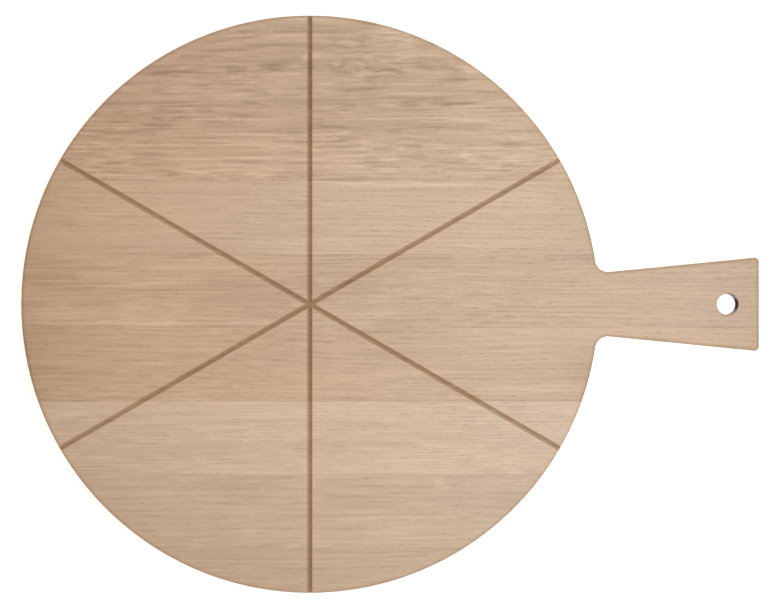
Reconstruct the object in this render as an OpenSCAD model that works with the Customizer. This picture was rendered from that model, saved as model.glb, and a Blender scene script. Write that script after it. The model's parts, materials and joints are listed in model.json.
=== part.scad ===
// Round serving board with a tapered handle. Oak staves run along X, from the rim into the handle,
// and are glued edge to edge. V grooves on the top mark the slices, and the handle has a hole to hang it by.
// The origin is the centre of the round board on its underside. +X points along the handle, +Z up.

/* [Board] */
// Diameter of the round board
board_d = 380; // [250:1:500]
// Thickness of the board
board_t = 15; // [10:0.5:30]
// Radius of the rounded edges, top and bottom
edge_r = 2.5; // [0.5:0.1:4.5]

/* [Handle] */
// Distance from the centre of the board to the end of the handle
handle_reach = 295.5; // [260:0.5:400]
// Width of the handle at the rim
handle_root_w = 41; // [25:0.5:70]
// Width of the handle at its end
handle_end_w = 62; // [30:0.5:90]
// Radius of the fillet between the rim and the handle, seen from above
fillet_r = 9.5; // [2:0.5:20]
// Radius of the end corners on the flat top, inside the rounded edge
corner_flat_r = 0.5; // [0.2:0.1:8]

/* [Staves] */
// Width of one stave
stave_w = 48.2; // [30:0.1:90]
// Distance of the handle's glue line in front of the board's centre
handle_joint_offset = 15.5; // [0:0.5:24]
// Thickness of a glue line
glue_t = 0.1; // [0.05:0.05:0.5]
// Least wood between a side of the handle and the next glue line
handle_joint_margin = 1; // [0.5:0.5:10]
// Narrowest stave that the rim is finished with
rim_stave_min_w = 12; // [4:1:20]

/* [Grooves] */
// Number of grooves across the board, each of which parts two slices
groove_count = 3; // [1:1:6]
// Width of a groove at the surface
groove_w = 3.2; // [1:0.1:6]
// Depth of a groove
groove_depth = 1.6; // [0.5:0.1:4]

/* [Hanging hole] */
// Diameter of the hole
hole_d = 14; // [6:0.5:25]
// Distance from the centre of the hole to the end of the handle
hole_inset = 21; // [14:0.5:60]
// Radius of the rounded edges of the hole
hole_edge_r = 1; // [0.2:0.1:3]

/* [Hidden] */
// Facets of a small arc, and of the rim, in a mesh preview
$fn = 32;
rim_facets = 360;
// How far a cutter reaches past the surface that it cuts
margin = 1;
// Angle at which a blend crosses the faces that it joins, so that they meet at an edge
blend_angle = 14;

board_r = board_d / 2;
hole_x = handle_reach - hole_inset;
// More than the handle is wide anywhere
handle_span = handle_root_w + handle_end_w;

// Straight side of the handle, at +Y: its start on the rim, its slope and its outward normal
side_start = [sqrt(pow(board_r, 2) - pow(handle_root_w / 2, 2)), handle_root_w / 2];
side_slope = atan((handle_end_w - handle_root_w) / 2 / (handle_reach - side_start.x));
side_normal = [-sin(side_slope), cos(side_slope)];
side_distance = side_start * side_normal;

// Fillet at +Y: its centre is as far from the rim as from the straight side
fillet_gap = fillet_r * cos(blend_angle);
fillet_angle = side_slope + asin((side_distance + fillet_gap) / (board_r + fillet_gap));
fillet_to_rim = [cos(fillet_angle), sin(fillet_angle)];
fillet_centre = (board_r + fillet_gap) * fillet_to_rim;
// How deep the web behind the fillet reaches into the rim and the handle, past their rounded edges
web_depth = edge_r + margin;

// End corner at +Y: its radius, and its centre inside the straight side and the end
corner_r = edge_r + corner_flat_r;
corner_gap = corner_r * cos(blend_angle);
corner_x = handle_reach - corner_gap;
corner_y = (side_distance - corner_gap + corner_x * sin(side_slope)) / cos(side_slope);

// Staves and glue lines count from the handle's glue line: 0, 1, 2 to the back, -1, -2 to the front.
// The two handle staves are wider than the rest where the handle needs it
handle_joint_y = -handle_joint_offset;
stave_pitch = stave_w + glue_t;
handle_side_y = max(handle_root_w, handle_end_w) / 2 + handle_joint_margin;
back_extra_w = max(0, handle_side_y - handle_joint_y - stave_w);
front_extra_w = max(0, handle_side_y + handle_joint_y - stave_w);
back_count = ceil((board_r - handle_joint_y - back_extra_w - rim_stave_min_w) / stave_pitch);
front_count = ceil((board_r + handle_joint_y - front_extra_w - rim_stave_min_w) / stave_pitch);
staves = [-front_count : back_count - 1];
joints = [1 - front_count : back_count - 1];

// Colours of the sanded oak and of the cured glue
oak_colour = [0.78, 0.67, 0.56];
glue_colour = [0.62, 0.49, 0.36];
// How much lighter or darker than the rest a stave may be
tone_spread = 0.03;

function joint_y(i) =
    handle_joint_y + i * stave_pitch + (i > 0 ? back_extra_w : i < 0 ? -front_extra_w : 0);

function oak_tone(i) = 1 + tone_spread * sin(140 * i);

function stave_name(i) =
    i == 0 ? "handle_stave_back" :
    i == -1 ? "handle_stave_front" :
    i > 0 ? str("back_stave_", i) : str("front_stave_", -1 - i);

function joint_name(i) =
    i == 0 ? "handle_glue_line" :
    i > 0 ? str("back_glue_line_", i) : str("front_glue_line_", -i);

// Section through the board's edge: a slab from x = 0 to w, rounded at w
module edge_section(w) {
    square([w - edge_r, board_t]);
    translate([0, edge_r]) square([w, board_t - 2 * edge_r]);
    intersection() {
        square([w, board_t]);
        for (z = [edge_r, board_t - edge_r]) translate([w - edge_r, z]) circle(edge_r);
    }
}

// Cutter for a round hole through the board, with edges rounded by e
module rounded_bore(r, e) {
    rotate_extrude() difference() {
        translate([0, -margin]) square([r + e, board_t + 2 * margin]);
        translate([r, e]) square([e + margin, board_t - 2 * e]);
        for (z = [e, board_t - e]) translate([r + e, z]) circle(e);
    }
}

// Slab along X with its rounded edge on y = 0 and its body behind it
module edge_bar(length, w) {
    translate([0, -w, 0]) rotate([90, 0, 90]) linear_extrude(length) edge_section(w);
}

// Slab that one straight side of the handle bounds
module handle_side() {
    tail = 2 * web_depth + fillet_r;
    translate(side_start) rotate(side_slope) translate([-tail, 0, 0])
        edge_bar(tail + handle_reach, handle_span);
}

// What a round corner takes off the end of the handle
module corner_cut() {
    reach = 2 * corner_r;
    difference() {
        linear_extrude(board_t) polygon([
            [corner_x, corner_y],
            [corner_x, corner_y] + reach * side_normal,
            [corner_x, corner_y] + reach * (side_normal + [1, 0]),
            [corner_x + reach, corner_y]
        ]);
        translate([corner_x, corner_y, 0]) rotate_extrude() edge_section(corner_r);
    }
}

// Tapered handle with rounded edges and corners, its root inside the board
module handle() {
    difference() {
        intersection() {
            handle_side();
            mirror([0, 1, 0]) handle_side();
            translate([handle_reach, handle_span, 0]) rotate(-90) edge_bar(2 * handle_span, handle_reach);
        }
        corner_cut();
        mirror([0, 1, 0]) corner_cut();
    }
}

// Web that fills the corner between the rim and the handle, hollowed by the fillet
module fillet_web() {
    to_rim = -(fillet_r + web_depth) * fillet_to_rim;
    to_side = -(fillet_r + web_depth) * side_normal;
    difference() {
        linear_extrude(board_t) polygon([
            fillet_centre,
            fillet_centre + to_rim,
            fillet_centre + to_rim + to_side,
            fillet_centre + to_side
        ]);
        translate(fillet_centre) rounded_bore(fillet_r, edge_r);
    }
}

// The whole outline, before the grooves and the hole are cut
module blank() {
    rotate_extrude($fn = rim_facets) edge_section(board_r);
    handle();
    fillet_web();
    mirror([0, 1, 0]) fillet_web();
}

// V groove along X, from rim to rim
module groove() {
    reach = board_r + margin;
    mouth = groove_w / 2 * (1 + margin / groove_depth);
    translate([-reach, 0, board_t]) rotate([90, 0, 90]) linear_extrude(2 * reach)
        polygon([[0, -groove_depth], [mouth, margin], [-mouth, margin]]);
}

// The part of the finished board between two planes across Y
module strip(y_front, y_back) {
    difference() {
        intersection() {
            blank();
            translate([-board_d, y_front, -margin])
                cube([2 * (board_d + handle_reach), y_back - y_front, board_t + 2 * margin]);
        }
        for (i = [0 : groove_count - 1]) rotate(90 + i * 180 / groove_count) groove();
        translate([hole_x, 0, 0]) rounded_bore(hole_d / 2, hole_edge_r);
    }
}

// One oak stave. The outermost staves reach past the rim, which trims them
module stave(i) {
    at_front = i == -front_count;
    at_back = i == back_count - 1;
    color(oak_tone(i) * oak_colour) strip(
        at_front ? -board_r - margin : joint_y(i) + glue_t / 2,
        at_back ? board_r + margin : joint_y(i + 1) - glue_t / 2
    );
}

// Film of glue between stave i - 1 and stave i
module glue_line(i) {
    color(glue_colour) strip(joint_y(i) - glue_t / 2, joint_y(i) + glue_t / 2);
}

for (i = staves) stave(i);
for (i = joints) glue_line(i);
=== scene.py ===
import json
import math
from collections import namedtuple

import bpy
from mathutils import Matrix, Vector


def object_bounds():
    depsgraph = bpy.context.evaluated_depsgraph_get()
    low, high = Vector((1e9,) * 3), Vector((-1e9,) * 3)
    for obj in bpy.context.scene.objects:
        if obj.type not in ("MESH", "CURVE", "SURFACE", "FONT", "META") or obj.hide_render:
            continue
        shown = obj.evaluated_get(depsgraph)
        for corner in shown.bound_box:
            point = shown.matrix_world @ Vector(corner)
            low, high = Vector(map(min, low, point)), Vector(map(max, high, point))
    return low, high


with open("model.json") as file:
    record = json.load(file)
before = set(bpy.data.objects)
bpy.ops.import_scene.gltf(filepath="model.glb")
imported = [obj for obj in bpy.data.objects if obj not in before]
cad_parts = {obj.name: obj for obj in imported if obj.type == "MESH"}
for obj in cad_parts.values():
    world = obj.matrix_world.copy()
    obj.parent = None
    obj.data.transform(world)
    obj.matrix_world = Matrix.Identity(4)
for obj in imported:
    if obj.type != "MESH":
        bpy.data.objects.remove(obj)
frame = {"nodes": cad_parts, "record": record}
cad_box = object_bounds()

# A round serving board of oak staves with V grooves, lying on a white studio floor.
# The camera, the floor and the lamp are in metres, as the frame is. The board and its wood are in
# millimetres.
MM = 0.001
LOW, HIGH = (Vector(corner) / MM for corner in cad_box)
BOARD_R = -LOW.x
TOP_Z = HIGH.z

# Handle: where it ends, its width at the rim and at its end, and the hole to hang it by
HANDLE_END_X = HIGH.x
HANDLE_ROOT_W = 41
HANDLE_END_W = 62
HANG_HOLE = next(mount for mount in frame["record"]["mounts"] if mount["name"] == "hang_hole")
HOLE_CENTRE = Vector(HANG_HOLE["pos_m"]) / MM
HOLE_R = HANG_HOLE["dims"]["r_mm"]

# V grooves from rim to rim, with their directions in degrees
GROOVE_ANGLES = (30, 90, 150)
GROOVE_W = 3.2
GROOVE_DEPTH = 1.6

# The photograph's frame in pixels, with the board's centre and diameter in it
PHOTO_W, PHOTO_H = 780, 611
PHOTO_CENTRE = (309.8, 304.2)
PHOTO_DIAMETER = 578.2
# Height of the camera above the board, and the width of its sensor in millimetres
CAMERA_HEIGHT = 1.6
SENSOR_W = 36

# Soft lamp, high above and just past the end of the handle
KEY_PLACE = (0.34, 0.03, 0.82)
KEY_SIZE = 0.45
KEY_POWER = 4.8
KEY_COLOUR = (0.83, 1.0, 1.10)

# Even fill from the room all round
ROOM_COLOUR = (1.0, 0.78, 0.62, 1)
ROOM_STRENGTH = 0.52

# Round white floor that glows
FLOOR_R = 30
FLOOR_SIDES = 96
FLOOR_COLOUR = (0.9, 0.9, 0.9, 1)
FLOOR_ROUGHNESS = 0.9
GLOW_COLOUR = (1, 1, 1, 1)
GLOW_STRENGTH = 0.72

# How one stave was sawn and looks: the seed of its noise, its log's pith line with its lean per millimetre
# of X, the width of a growth ring, its lightness against the other staves and how much lighter it gets over
# a board radius of X, its warmth, how strong its figure, its dashes and its pale flecks are, and how much
# darker its ends get
Cut = namedtuple(
    "Cut", "seed pith_y pith_z lean_y lean_z ring_w tone fade warmth figure dashes flecks soak"
)
CUTS = {
    "back_stave_4": Cut(10, 205, -60, 0.010, 0.020, 2.6, 1.045, 0.0, 0.0, 1.1, 1.1, 0.2, 0.0),
    "back_stave_3": Cut(11, 150, -48, 0.020, 0.035, 2.4, 0.965, 0.01, 0.03, 1.3, 1.2, 0.2, 0.0),
    "back_stave_2": Cut(39, 20, -70, 0.004, 0.010, 2.2, 1.01, 0.0, 0.03, 1.1, 1.2, 0.2, 0.1),
    "back_stave_1": Cut(76, 130, -30, -0.004, 0.012, 2.8, 1.08, -0.03, 0.01, 0.7, 0.4, 0.2, 0.8),
    "handle_stave_back": Cut(50, -90, -60, 0.003, -0.010, 2.3, 0.99, -0.06, 0.035, 0.75, 0.7, 0.2, 0.5),
    "handle_stave_front": Cut(42, 70, -80, -0.003, 0.010, 2.5, 1.01, -0.03, 0.035, 0.7, 0.6, 0.2, 1.0),
    "front_stave_1": Cut(7, -190, -20, 0.002, 0.010, 2.1, 1.19, -0.02, -0.03, 0.65, 0.5, 0.3, 0.25),
    "front_stave_2": Cut(53, -60, -90, -0.004, -0.014, 2.6, 1.105, -0.02, -0.02, 0.65, 0.5, 0.2, 0.25),
    "front_stave_3": Cut(45, -230, -40, 0.006, 0.012, 2.4, 1.06, -0.03, -0.01, 0.65, 0.4, 0.2, 0.0),
}

# Single streaks along the grain: their Y and half width, their start and end along X, and how much browner
# than the wood round them they are, or paler, where this is negative
Streak = namedtuple("Streak", "y half_w start end brown")
STREAKS = {
    "back_stave_3": (
        Streak(133, 6, -105, 140, 0.1),
        Streak(157, 6, -95, 55, 0.12),
        Streak(131.6, 1.7, 52, 114, 0.26),
        Streak(152.5, 1.7, -108, -76, 0.26),
    ),
    "back_stave_2": (
        Streak(122, 8, -155, -20, 0.18),
        Streak(120, 9, -20, 100, 0.2),
        Streak(110, 7, -165, -95, 0.17),
        Streak(90, 8, -95, 0, -0.16),
        Streak(86, 6, 0, 130, -0.18),
        Streak(82.4, 1.7, -5, 115, 0.2),
        Streak(94.6, 1.7, 66, 116, 0.2),
        Streak(106.4, 1.7, 70, 155, 0.2),
    ),
    "back_stave_1": (
        Streak(53, 8, -185, -90, 0.11),
        Streak(78.6, 1.7, -5, 115, -0.25),
    ),
    "handle_stave_back": (
        Streak(16, 7, -190, -145, 0.16),
        Streak(17, 8, -75, -25, 0.16),
        Streak(3, 5, -85, -5, 0.16),
        Streak(-8, 9, -195, -70, -0.15),
        Streak(-12.6, 1.7, -190, -60, -0.25),
    ),
    "handle_stave_front": (Streak(-57, 8, 105, 190, -0.18),),
}
# The share of a streak's half width that has its full colour, the share of its length over which each end
# fades, and how far its edges ripple
STREAK_CORE = 0.25
STREAK_FADE = 0.25
STREAK_RIPPLE = 3.0

# Noise lies around its middle, and a stave's seed moves the stave through it by so many steps
NOISE_MIDDLE = 0.5
SEED_STEP = Vector((311, 173, 97))

# How the grain wanders off the X axis: the size of a bend along X, Y and Z, and how wide it swings
WANDER_SIZE = (260, 60, 60)
WANDER_SWING = (0, 6, 6)
# Curly figure in one place of the board: its centre and half widths, the share of these in which the grain
# curls most, the size of a curl and how wide it swings
CURL_PLACE = (30, 162, 0)
CURL_REACH = (48, 22, 60)
CURL_CORE = 0.3
CURL_SIZE = (16, 12, 12)
CURL_SWING = (0, 9, 9)

# Growth rings drift in and out by up to some ring widths. These shares of a ring's width say where it sets
# in, where its early wood fades, and where its shade goes from 1, dark, to a pale one
DRIFT_SIZE = (90, 14, 14)
DRIFT_RINGS = 2.0
RING_OUTSET = (0.0, 0.1)
EARLY_FADE = (0.2, 0.55)
SHADE_FADE = (0.1, 0.9)
LATE_SHADE = -0.5
# Rings show in some places, where this noise is high, and on all end grain
CLEAR_SIZE = (36, 5, 5)
CLEAR_RANGE = (0.42, 0.7)
RING_BROWN = 0.16
END_RING_BROWN = 0.3

# How brown the wood is without marks, from 0, pale, to 1, brown
MEAN_BROWN = 0.39
# Marks along the grain: their size along X, Y and Z, and how much browner the darkest are than the palest
Mark = namedtuple("Mark", "size brown")
BANDS = Mark((260, 9, 9), 0.4)
LINES = Mark((22, 1.6, 1.6), 0.35)
FIBRES = Mark((12, 0.7, 0.7), 0.2)
HAIRS = Mark((10, 0.2, 0.2), 0.22)
CLOUDS = Mark((110, 30, 30), 0.35)
# How much finer noise breaks up the fibres
FIBRE_BREAK = 0.6
# Dark dashes lie where noise is this high, and pale ones where it is as low. They are short in some patches
# and long in others
SHORT_DASH_SIZE = (16, 2.4, 2.4)
LONG_DASH_SIZE = (70, 2.4, 2.4)
DASH_RANGE = (0.57, 0.69)
DASH_BROWN = 0.24
PATCH_SIZE = (90, 24, 24)
PATCH_RANGE = (0.4, 0.6)
# Lines and dashes get calmer along this stretch of X, down to a share of their strength
CALM_RANGE = (120, 220)
CALM_SHARE = 0.5

# Open pores and fine vessels: their size, where their edge begins and ends as shares of it, how clear they
# are in late wood against early wood, and how dark
Pit = namedtuple("Pit", "size edge late dark")
PORES = Pit((7, 0.5, 0.5), (0.38, 0.22), 0.15, 0.25)
VESSELS = Pit((5, 0.24, 0.24), (0.42, 0.24), 0.4, 0.34)
# Rays: their size along X, round the rings and out from the pith, the radius of the rings for which it is
# true, where noise is high enough for one, how pale they are, and how much paler on end grain
RAY_SIZE = (26, 1.1, 22)
RAY_RING_R = 80
RAY_RANGE = (0.54, 0.76)
RAY_PALE = 0.45
END_RAY_PALE = 0.3

# How far a face turns to the X axis, as its normal's X, where it begins to show end grain and shows it in
# full, and where the painted shade on the hole's wall begins and is full
END_TURN = (0.55, 1.0)
HOLE_SHADE_TURN = (0.7, 0.95)
# How far off the hole's wall the painted shade fades
HOLE_SHADE_FADE = (0.05, 0.6)
# Distance from the end of a stave over which its darkening towards that end halves, and the width of the
# strips beside the handle in which the end to measure from moves from the handle's end to the rim
END_DARKENING_DEPTH = 18
HANDLE_BLEND = 8
# A groove's wall is browner wood with painted shade that grows darker deep down: how far off the wall it
# fades, how strong it is at the top and deep down, and how deep down
STAIN_AND_SHADE_FADE = (0.05, 0.35)
STAIN_AND_SHADE_STRENGTH = (0.75, 1)
STAIN_AND_SHADE_DEPTH = 0.9 * GROOVE_DEPTH

# Roughness of the oak, and how much its fibres and pores add
OAK_ROUGHNESS = 0.46
FIBRE_ROUGHNESS = 0.16
PORE_ROUGHNESS = 0.15
# Relief: the depth of a pore, the height of a fibre as a share of it, and how strongly both show
PORE_DEPTH = 0.1
FIBRE_HEIGHT = 0.25
BUMP_STRENGTH = 0.35

# A glue line is dark in places of this size, where noise is high. Its roughness goes from the first value
# to the second there
GLUE_SIZE = (80, 20, 20)
GLUE_RANGE = (0.35, 0.65)
GLUE_ROUGHNESS = (0.4, 0.6)

# Colours, and tints that the wood's colour is multiplied by
OAK_PALE = (0.70, 0.52, 0.37, 1)
OAK_BROWN = (0.37, 0.245, 0.155, 1)
PORE_COLOUR = (0.24, 0.14, 0.08, 1)
RAY_COLOUR = (0.74, 0.58, 0.43, 1)
END_DARKENING_TINT = (0.85, 0.83, 0.80, 1)
END_GRAIN_TINT = (0.62, 0.55, 0.48, 1)
# Browner wood with painted shade for the grooves' walls
GROOVE_STAIN_AND_SHADE_TINT = (0.74, 0.67, 0.61, 1)
# Near-black painted shade for the hole's end-grain wall
HOLE_SHADE_COLOUR = (0.03, 0.017, 0.007, 1)
GLUE_PALE = (0.46, 0.32, 0.21, 1)
GLUE_DARK = (0.12, 0.07, 0.04, 1)


class Shader:
    """A material's node tree, with short ways to add and link nodes."""

    def __init__(self, name):
        self.material = bpy.data.materials.new(name)
        self.material.use_nodes = True
        self.nodes = self.material.node_tree.nodes
        self.links = self.material.node_tree.links
        self.surface = self.nodes["Principled BSDF"]

    def feed(self, node, inputs):
        """Sets a node's inputs, by number or name, or links them to the outputs of other nodes."""
        for key, value in dict(inputs).items():
            if isinstance(value, bpy.types.NodeSocket):
                self.links.new(value, node.inputs[key])
            else:
                node.inputs[key].default_value = value

    def add(self, kind, inputs=(), **settings):
        node = self.nodes.new(kind)
        for name, value in settings.items():
            setattr(node, name, value)
        self.feed(node, inputs)
        return node

    def math(self, operation, *values):
        return self.add("ShaderNodeMath", enumerate(values), operation=operation).outputs[0]

    def vector(self, operation, *values):
        return self.add("ShaderNodeVectorMath", enumerate(values), operation=operation).outputs[0]

    def length(self, value):
        return self.add("ShaderNodeVectorMath", {0: value}, operation="LENGTH").outputs["Value"]

    def split(self, value):
        return self.add("ShaderNodeSeparateXYZ", {0: value}).outputs

    def join(self, x, y, z):
        return self.add("ShaderNodeCombineXYZ", enumerate((x, y, z))).outputs[0]

    def mix(self, share, first, second, blend="MIX"):
        """Mixes two colours. Their sockets come after those for numbers and vectors."""
        inputs = {0: share, 6: first, 7: second}
        return self.add("ShaderNodeMix", inputs, data_type="RGBA", blend_type=blend).outputs[2]

    def in_millimetres(self, coordinates):
        return self.vector("MULTIPLY", coordinates.outputs["Object"], (1 / MM,) * 3)

    def ease(self, value, start, end, low=0.0, high=1.0):
        """Goes smoothly from low at start to high at end."""
        inputs = enumerate((value, start, end, low, high))
        return self.add("ShaderNodeMapRange", inputs, interpolation_type="SMOOTHSTEP").outputs[0]

    def noise(self, place, size, detail=2.0, rough=0.5, output="Fac"):
        """Noise with lumps of about that size along X, Y and Z."""
        scaled = self.vector("DIVIDE", place, size)
        inputs = {"Vector": scaled, "Scale": 1.0, "Detail": detail, "Roughness": rough}
        return self.add("ShaderNodeTexNoise", inputs).outputs[output]

    def cells(self, place, size):
        """Distance to the nearest of scattered points, one in each cell of that size, in cells."""
        scaled = self.vector("DIVIDE", place, size)
        return self.add("ShaderNodeTexVoronoi", {"Vector": scaled, "Scale": 1.0}).outputs["Distance"]

    def shift(self, base, noise, amount):
        """Adds an amount of noise, around its middle."""
        return self.math("MULTIPLY_ADD", self.math("SUBTRACT", noise, NOISE_MIDDLE), amount, base)

    def swing(self, place, size, reach, detail):
        """Noise of its own for each axis, around 0, times a reach along X, Y and Z."""
        noise = self.noise(place, size, detail, output="Color")
        return self.vector("MULTIPLY", self.vector("SUBTRACT", noise, (NOISE_MIDDLE,) * 3), reach)


class Oak(Shader):
    """Sanded, oiled oak of one stave. Its rings lie around a pith line, so faces and end grain agree."""

    def __init__(self, stave):
        super().__init__("oak_" + stave)
        self.cut = CUTS[stave]
        self.streaks = STREAKS.get(stave, ())
        self.find_place()
        self.lay_grain()
        self.grow_rings()
        self.lines = self.noise(self.grain, LINES.size, detail=1)
        self.fibres = self.noise(self.grain, FIBRES.size, rough=FIBRE_BREAK)
        self.pores = self.pits(PORES)
        self.hole_shade = self.paint_hole_shade()
        colour = self.treat(self.wood())
        inputs = {"Base Color": colour, "Roughness": self.roughness(), "Normal": self.relief()}
        self.feed(self.surface, inputs)

    def find_place(self):
        """Place on the board and in the stave's own noise, and how far a face turns to the grain's end."""
        coordinates = self.add("ShaderNodeTexCoord")
        self.place = self.in_millimetres(coordinates)
        self.x, self.y, self.z = self.split(self.place)
        self.own = self.vector("ADD", self.place, self.cut.seed * SEED_STEP)
        self.endwise = self.math("ABSOLUTE", self.split(coordinates.outputs["Normal"])[0])
        self.end = self.ease(self.endwise, *END_TURN)

    def lay_grain(self):
        """Grain that wanders a little, around a pith line that leans a little."""
        cut = self.cut
        wander = self.swing(self.own, WANDER_SIZE, WANDER_SWING, detail=2)
        lean_y, lean_z = (self.math("MULTIPLY", self.x, lean) for lean in (cut.lean_y, cut.lean_z))
        across = self.vector("ADD", self.place, wander)
        across = self.vector("SUBTRACT", across, self.join(0.0, lean_y, lean_z))
        across = self.vector("ADD", across, self.curl())
        across = self.vector("SUBTRACT", across, (0, cut.pith_y, cut.pith_z))
        self.across = self.vector("MULTIPLY", across, (0, 1, 1))
        self.radius = self.length(self.across)
        self.grain = self.vector("ADD", self.across, self.vector("MULTIPLY", self.own, (1, 0, 0)))

    def curl(self):
        """Swirls the grain in the curly figure, by up to a few millimetres."""
        away = self.vector("DIVIDE", self.vector("SUBTRACT", self.place, CURL_PLACE), CURL_REACH)
        share = self.ease(self.length(away), CURL_CORE, 1.0, 1, 0)
        swirl = self.swing(self.place, CURL_SIZE, CURL_SWING, detail=0.5)
        return self.vector("MULTIPLY", swirl, self.join(share, share, share))

    def grow_rings(self):
        """Each ring starts with dark, porous early wood and gets ever paler in late wood."""
        drift = self.math("MULTIPLY", self.noise(self.grain, DRIFT_SIZE, detail=1), DRIFT_RINGS)
        rings = self.math("ADD", self.math("DIVIDE", self.radius, self.cut.ring_w), drift)
        phase = self.math("FRACT", rings)
        outset = self.ease(phase, *RING_OUTSET)
        self.early = self.math("MULTIPLY", outset, self.ease(phase, *EARLY_FADE, 1, 0))
        shade = self.math("MULTIPLY", outset, self.ease(phase, *SHADE_FADE, 1, LATE_SHADE))
        clear = self.ease(self.noise(self.grain, CLEAR_SIZE), *CLEAR_RANGE, 0, RING_BROWN * self.cut.figure)
        clear = self.math("MAXIMUM", clear, self.math("MULTIPLY", self.end, END_RING_BROWN))
        self.ring_brown = self.math("MULTIPLY", shade, clear)

    def pits(self, kind):
        """1 in open pores or vessels, which are clearest in early wood."""
        pit = self.ease(self.cells(self.grain, kind.size), *kind.edge)
        return self.math("MULTIPLY", pit, self.math("MULTIPLY_ADD", self.early, 1 - kind.late, kind.late))

    def rays(self):
        """Rays stand on the rings, so they are flecks on a quartered face and short lines on a flat one."""
        _, y, z = self.split(self.across)
        round_ring = self.math("MULTIPLY", self.math("ARCTAN2", z, y), RAY_RING_R)
        on_ring = self.join(self.split(self.own)[0], round_ring, self.radius)
        ray = self.ease(self.noise(on_ring, RAY_SIZE, detail=1), *RAY_RANGE)
        pale = self.math("MULTIPLY_ADD", self.end, END_RAY_PALE, RAY_PALE * self.cut.flecks)
        return self.math("MULTIPLY", ray, pale)

    def dashes(self):
        """1 in dark dashes, -1 in pale ones, with calm wood between them."""
        short, long = (self.dashes_of(size) for size in (SHORT_DASH_SIZE, LONG_DASH_SIZE))
        patch = self.ease(self.noise(self.own, PATCH_SIZE, detail=1), *PATCH_RANGE)
        return self.math("MULTIPLY_ADD", self.math("SUBTRACT", short, long), patch, long)

    def dashes_of(self, size):
        lump = self.noise(self.grain, size, detail=0.5)
        pale_range = (2 * NOISE_MIDDLE - level for level in DASH_RANGE)
        return self.math("SUBTRACT", self.ease(lump, *DASH_RANGE), self.ease(lump, *pale_range))

    def streak_share(self, streak):
        """1 along a single streak, with soft, uneven edges and ends that fade."""
        fade = STREAK_FADE * (streak.end - streak.start)
        begun = self.ease(self.x, streak.start, streak.start + fade)
        ended = self.ease(self.x, streak.end - fade, streak.end, 1, 0)
        aside = self.shift(self.math("SUBTRACT", self.y, streak.y), self.lines, STREAK_RIPPLE)
        aside = self.math("ABSOLUTE", aside)
        within = self.ease(aside, STREAK_CORE * streak.half_w, streak.half_w, 1, 0)
        return self.math("MULTIPLY", within, self.math("MULTIPLY", begun, ended))

    def brown(self):
        """How brown the wood is, with all marks along its grain. End grain shows no lines or dashes."""
        figure = self.cut.figure
        calm = self.ease(self.x, *CALM_RANGE, 1, CALM_SHARE)
        calm = self.math("MULTIPLY", calm, self.math("SUBTRACT", 1.0, self.end))
        brown = self.shift(MEAN_BROWN, self.noise(self.grain, BANDS.size, detail=1), BANDS.brown * figure)
        brown = self.shift(brown, self.lines, self.math("MULTIPLY", calm, LINES.brown * figure))
        brown = self.shift(brown, self.fibres, FIBRES.brown)
        brown = self.shift(brown, self.noise(self.grain, HAIRS.size, detail=1), HAIRS.brown)
        brown = self.shift(brown, self.noise(self.own, CLOUDS.size), CLOUDS.brown)
        brown = self.math("ADD", self.ring_brown, brown)
        dashes = self.math("MULTIPLY", self.dashes(), calm)
        brown = self.math("MULTIPLY_ADD", dashes, DASH_BROWN * self.cut.dashes, brown)
        for streak in self.streaks:
            brown = self.math("MULTIPLY_ADD", self.streak_share(streak), streak.brown, brown)
        return self.math("MAXIMUM", brown, 0.0)

    def wood(self):
        """Colour of the sanded wood."""
        cut = self.cut
        colour = self.mix(self.brown(), OAK_PALE, OAK_BROWN)
        colour = self.mix(self.math("MULTIPLY", self.pores, PORES.dark), colour, PORE_COLOUR)
        colour = self.mix(self.math("MULTIPLY", self.pits(VESSELS), VESSELS.dark), colour, PORE_COLOUR)
        colour = self.mix(self.rays(), colour, RAY_COLOUR)
        tone = self.math("MULTIPLY_ADD", self.x, cut.tone * cut.fade / BOARD_R, cut.tone)
        red, blue = (self.math("MULTIPLY", tone, 1 + warmth) for warmth in (cut.warmth, -cut.warmth))
        return self.mix(1.0, colour, self.join(red, tone, blue), "MULTIPLY")

    def treat(self, colour):
        """Darkens the staves' ends, browns the grooves' walls with painted shade, and paints shade on the
        hole's wall.
        """
        end_darkening = self.math("MULTIPLY", self.end_darkening(), self.cut.soak)
        colour = self.mix(end_darkening, colour, END_DARKENING_TINT, "MULTIPLY")
        colour = self.mix(self.end, colour, END_GRAIN_TINT, "MULTIPLY")
        # Browner wood with painted shade on the grooves' walls, darker deeper down
        colour = self.mix(self.groove_stain_and_shade(), colour, GROOVE_STAIN_AND_SHADE_TINT, "MULTIPLY")
        # Near-black painted shade on the hole's end-grain wall
        return self.mix(self.hole_shade, colour, HOLE_SHADE_COLOUR)

    def end_darkening(self):
        """Grows to 1 at a stave's ends, on the rim or at the end of the handle."""
        y_squared = self.math("MULTIPLY", self.y, self.y)
        rim = self.math("SQRT", self.math("SUBTRACT", BOARD_R ** 2, y_squared))
        past_rim = self.math("SUBTRACT", HANDLE_END_X, rim)
        right_end = self.math("MULTIPLY_ADD", self.in_handle(), past_rim, rim)
        from_right = self.math("SUBTRACT", right_end, self.x)
        from_left = self.math("ADD", rim, self.x)
        from_end = self.math("MAXIMUM", self.math("MINIMUM", from_right, from_left), 0.0)
        return self.math("POWER", 2.0, self.math("DIVIDE", from_end, -END_DARKENING_DEPTH))

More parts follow.
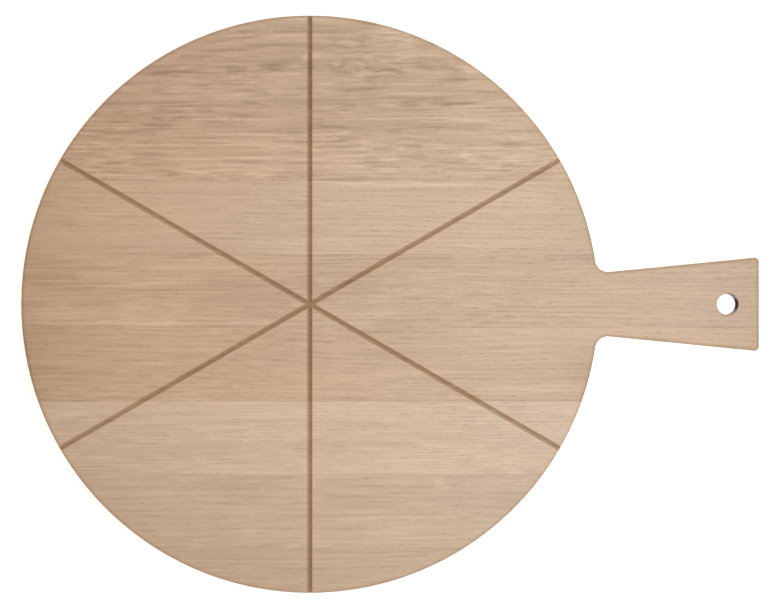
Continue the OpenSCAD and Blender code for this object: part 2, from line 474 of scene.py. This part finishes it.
    def in_handle(self):
        """1 in the strip of the board that runs into the handle, 0 further off."""
        slope = (HANDLE_END_W - HANDLE_ROOT_W) / 2 / (HANDLE_END_X - BOARD_R)
        side = self.math("MULTIPLY_ADD", self.math("SUBTRACT", self.x, BOARD_R), slope, HANDLE_ROOT_W / 2)
        side = self.math("MAXIMUM", side, HANDLE_ROOT_W / 2)
        beside = self.math("SUBTRACT", self.math("ABSOLUTE", self.y), side)
        return self.ease(beside, 0, HANDLE_BLEND, 1, 0)

    def groove_stain_and_shade(self):
        """Browner wood and painted shade: grows down the grooves' walls to 1, and fades out just past their
        edges.
        """
        depth = self.math("SUBTRACT", TOP_Z, self.z)
        walls = 0.0
        for angle in GROOVE_ANGLES:
            walls = self.math("MAXIMUM", walls, self.groove_walls(math.radians(angle), depth))
        from_centre = self.length(self.vector("MULTIPLY", self.place, (1, 1, 0)))
        walls = self.math("MULTIPLY", walls, self.math("LESS_THAN", from_centre, BOARD_R))
        return self.math("MULTIPLY", walls, self.ease(depth, 0.0, STAIN_AND_SHADE_DEPTH, *STAIN_AND_SHADE_STRENGTH))

    def groove_walls(self, angle, depth):
        """1 on the walls of one groove."""
        across_y = self.math("MULTIPLY", self.y, math.cos(angle))
        aside = self.math("SUBTRACT", self.math("MULTIPLY", self.x, math.sin(angle)), across_y)
        slope = -2 * GROOVE_DEPTH / GROOVE_W
        wall_depth = self.math("MULTIPLY_ADD", self.math("ABSOLUTE", aside), slope, GROOVE_DEPTH)
        off_wall = self.math("ABSOLUTE", self.math("SUBTRACT", depth, wall_depth))
        return self.ease(off_wall, *STAIN_AND_SHADE_FADE, 1, 0)

    def paint_hole_shade(self):
        """Painted shade: 1 on the end grain of the hole's wall, fading out on its rounded edges."""
        aside = self.vector("MULTIPLY", self.vector("SUBTRACT", self.place, HOLE_CENTRE), (1, 1, 0))
        off_wall = self.math("SUBTRACT", self.length(aside), HOLE_R)
        on_wall = self.ease(off_wall, *HOLE_SHADE_FADE, 1, 0)
        return self.math("MULTIPLY", on_wall, self.ease(self.endwise, *HOLE_SHADE_TURN))

    def roughness(self):
        rough = self.math("MULTIPLY_ADD", self.fibres, FIBRE_ROUGHNESS, OAK_ROUGHNESS)
        rough = self.math("MULTIPLY_ADD", self.pores, PORE_ROUGHNESS, rough)
        return self.math("MAXIMUM", rough, self.hole_shade)

    def relief(self):
        """Raised fibres and sunken pores."""
        sunken = self.math("MULTIPLY", self.pores, -1.0)
        height = self.math("MULTIPLY_ADD", self.fibres, FIBRE_HEIGHT, sunken)
        inputs = {"Height": height, "Strength": BUMP_STRENGTH, "Distance": PORE_DEPTH * MM}
        return self.add("ShaderNodeBump", inputs).outputs[0]


def glue(name):
    """Cured glue, sanded flush: a dark line in some places, hardly darker than the oak in others."""
    s = Shader(name)
    lumps = s.noise(s.in_millimetres(s.add("ShaderNodeTexCoord")), GLUE_SIZE)
    colour = s.mix(s.ease(lumps, *GLUE_RANGE), GLUE_PALE, GLUE_DARK)
    s.feed(s.surface, {"Base Color": colour, "Roughness": s.ease(lumps, *GLUE_RANGE, *GLUE_ROUGHNESS)})
    return s.material


def dress():
    """Gives each stave its own oak, and the glue lines one glue."""
    film = glue("glue")
    for name, node in frame["nodes"].items():
        node.data.materials.clear()
        node.data.materials.append(Oak(name).material if name in CUTS else film)


def make_camera():
    """Looks straight down, so that the board's centre and diameter fall where the photograph has them."""
    metres_per_pixel = 2 * BOARD_R * MM / PHOTO_DIAMETER
    data = bpy.data.cameras.new("camera")
    data.sensor_width = SENSOR_W
    data.lens = SENSOR_W * CAMERA_HEIGHT / (PHOTO_W * metres_per_pixel)
    camera = bpy.data.objects.new("camera", data)
    aside = (PHOTO_W / 2 - PHOTO_CENTRE[0]) * metres_per_pixel
    ahead = (PHOTO_CENTRE[1] - PHOTO_H / 2) * metres_per_pixel
    camera.location = (aside, ahead, TOP_Z * MM + CAMERA_HEIGHT)
    bpy.context.scene.collection.objects.link(camera)
    bpy.context.scene.camera = camera


def make_floor():
    """A white floor that glows enough to hide shadows, as a light table does. It sheds no diffuse light."""
    bpy.ops.mesh.primitive_circle_add(vertices=FLOOR_SIDES, radius=FLOOR_R, fill_type="NGON")
    floor = bpy.context.object
    floor.name = "floor"
    floor.visible_diffuse = False
    s = Shader("floor")
    s.feed(s.surface, {"Base Color": FLOOR_COLOUR, "Roughness": FLOOR_ROUGHNESS})
    s.feed(s.surface, {"Emission Color": GLOW_COLOUR, "Emission Strength": GLOW_STRENGTH})
    floor.data.materials.append(s.material)


def make_lamp():
    """A cool, soft lamp that points straight down."""
    data = bpy.data.lights.new("key", "AREA")
    data.shape = "DISK"
    data.size = KEY_SIZE
    data.energy = KEY_POWER
    data.color = KEY_COLOUR
    key = bpy.data.objects.new("key", data)
    key.location = KEY_PLACE
    key.visible_camera = False
    bpy.context.scene.collection.objects.link(key)


def make_room():
    """A warm, even fill from all round, with colours shown as they are."""
    world = bpy.data.worlds.new("studio")
    world.use_nodes = True
    background = world.node_tree.nodes["Background"]
    background.inputs["Color"].default_value = ROOM_COLOUR
    background.inputs["Strength"].default_value = ROOM_STRENGTH
    bpy.context.scene.world = world
    bpy.context.scene.view_settings.view_transform = "Standard"


make_camera()
make_floor()
make_lamp()
make_room()
dress()
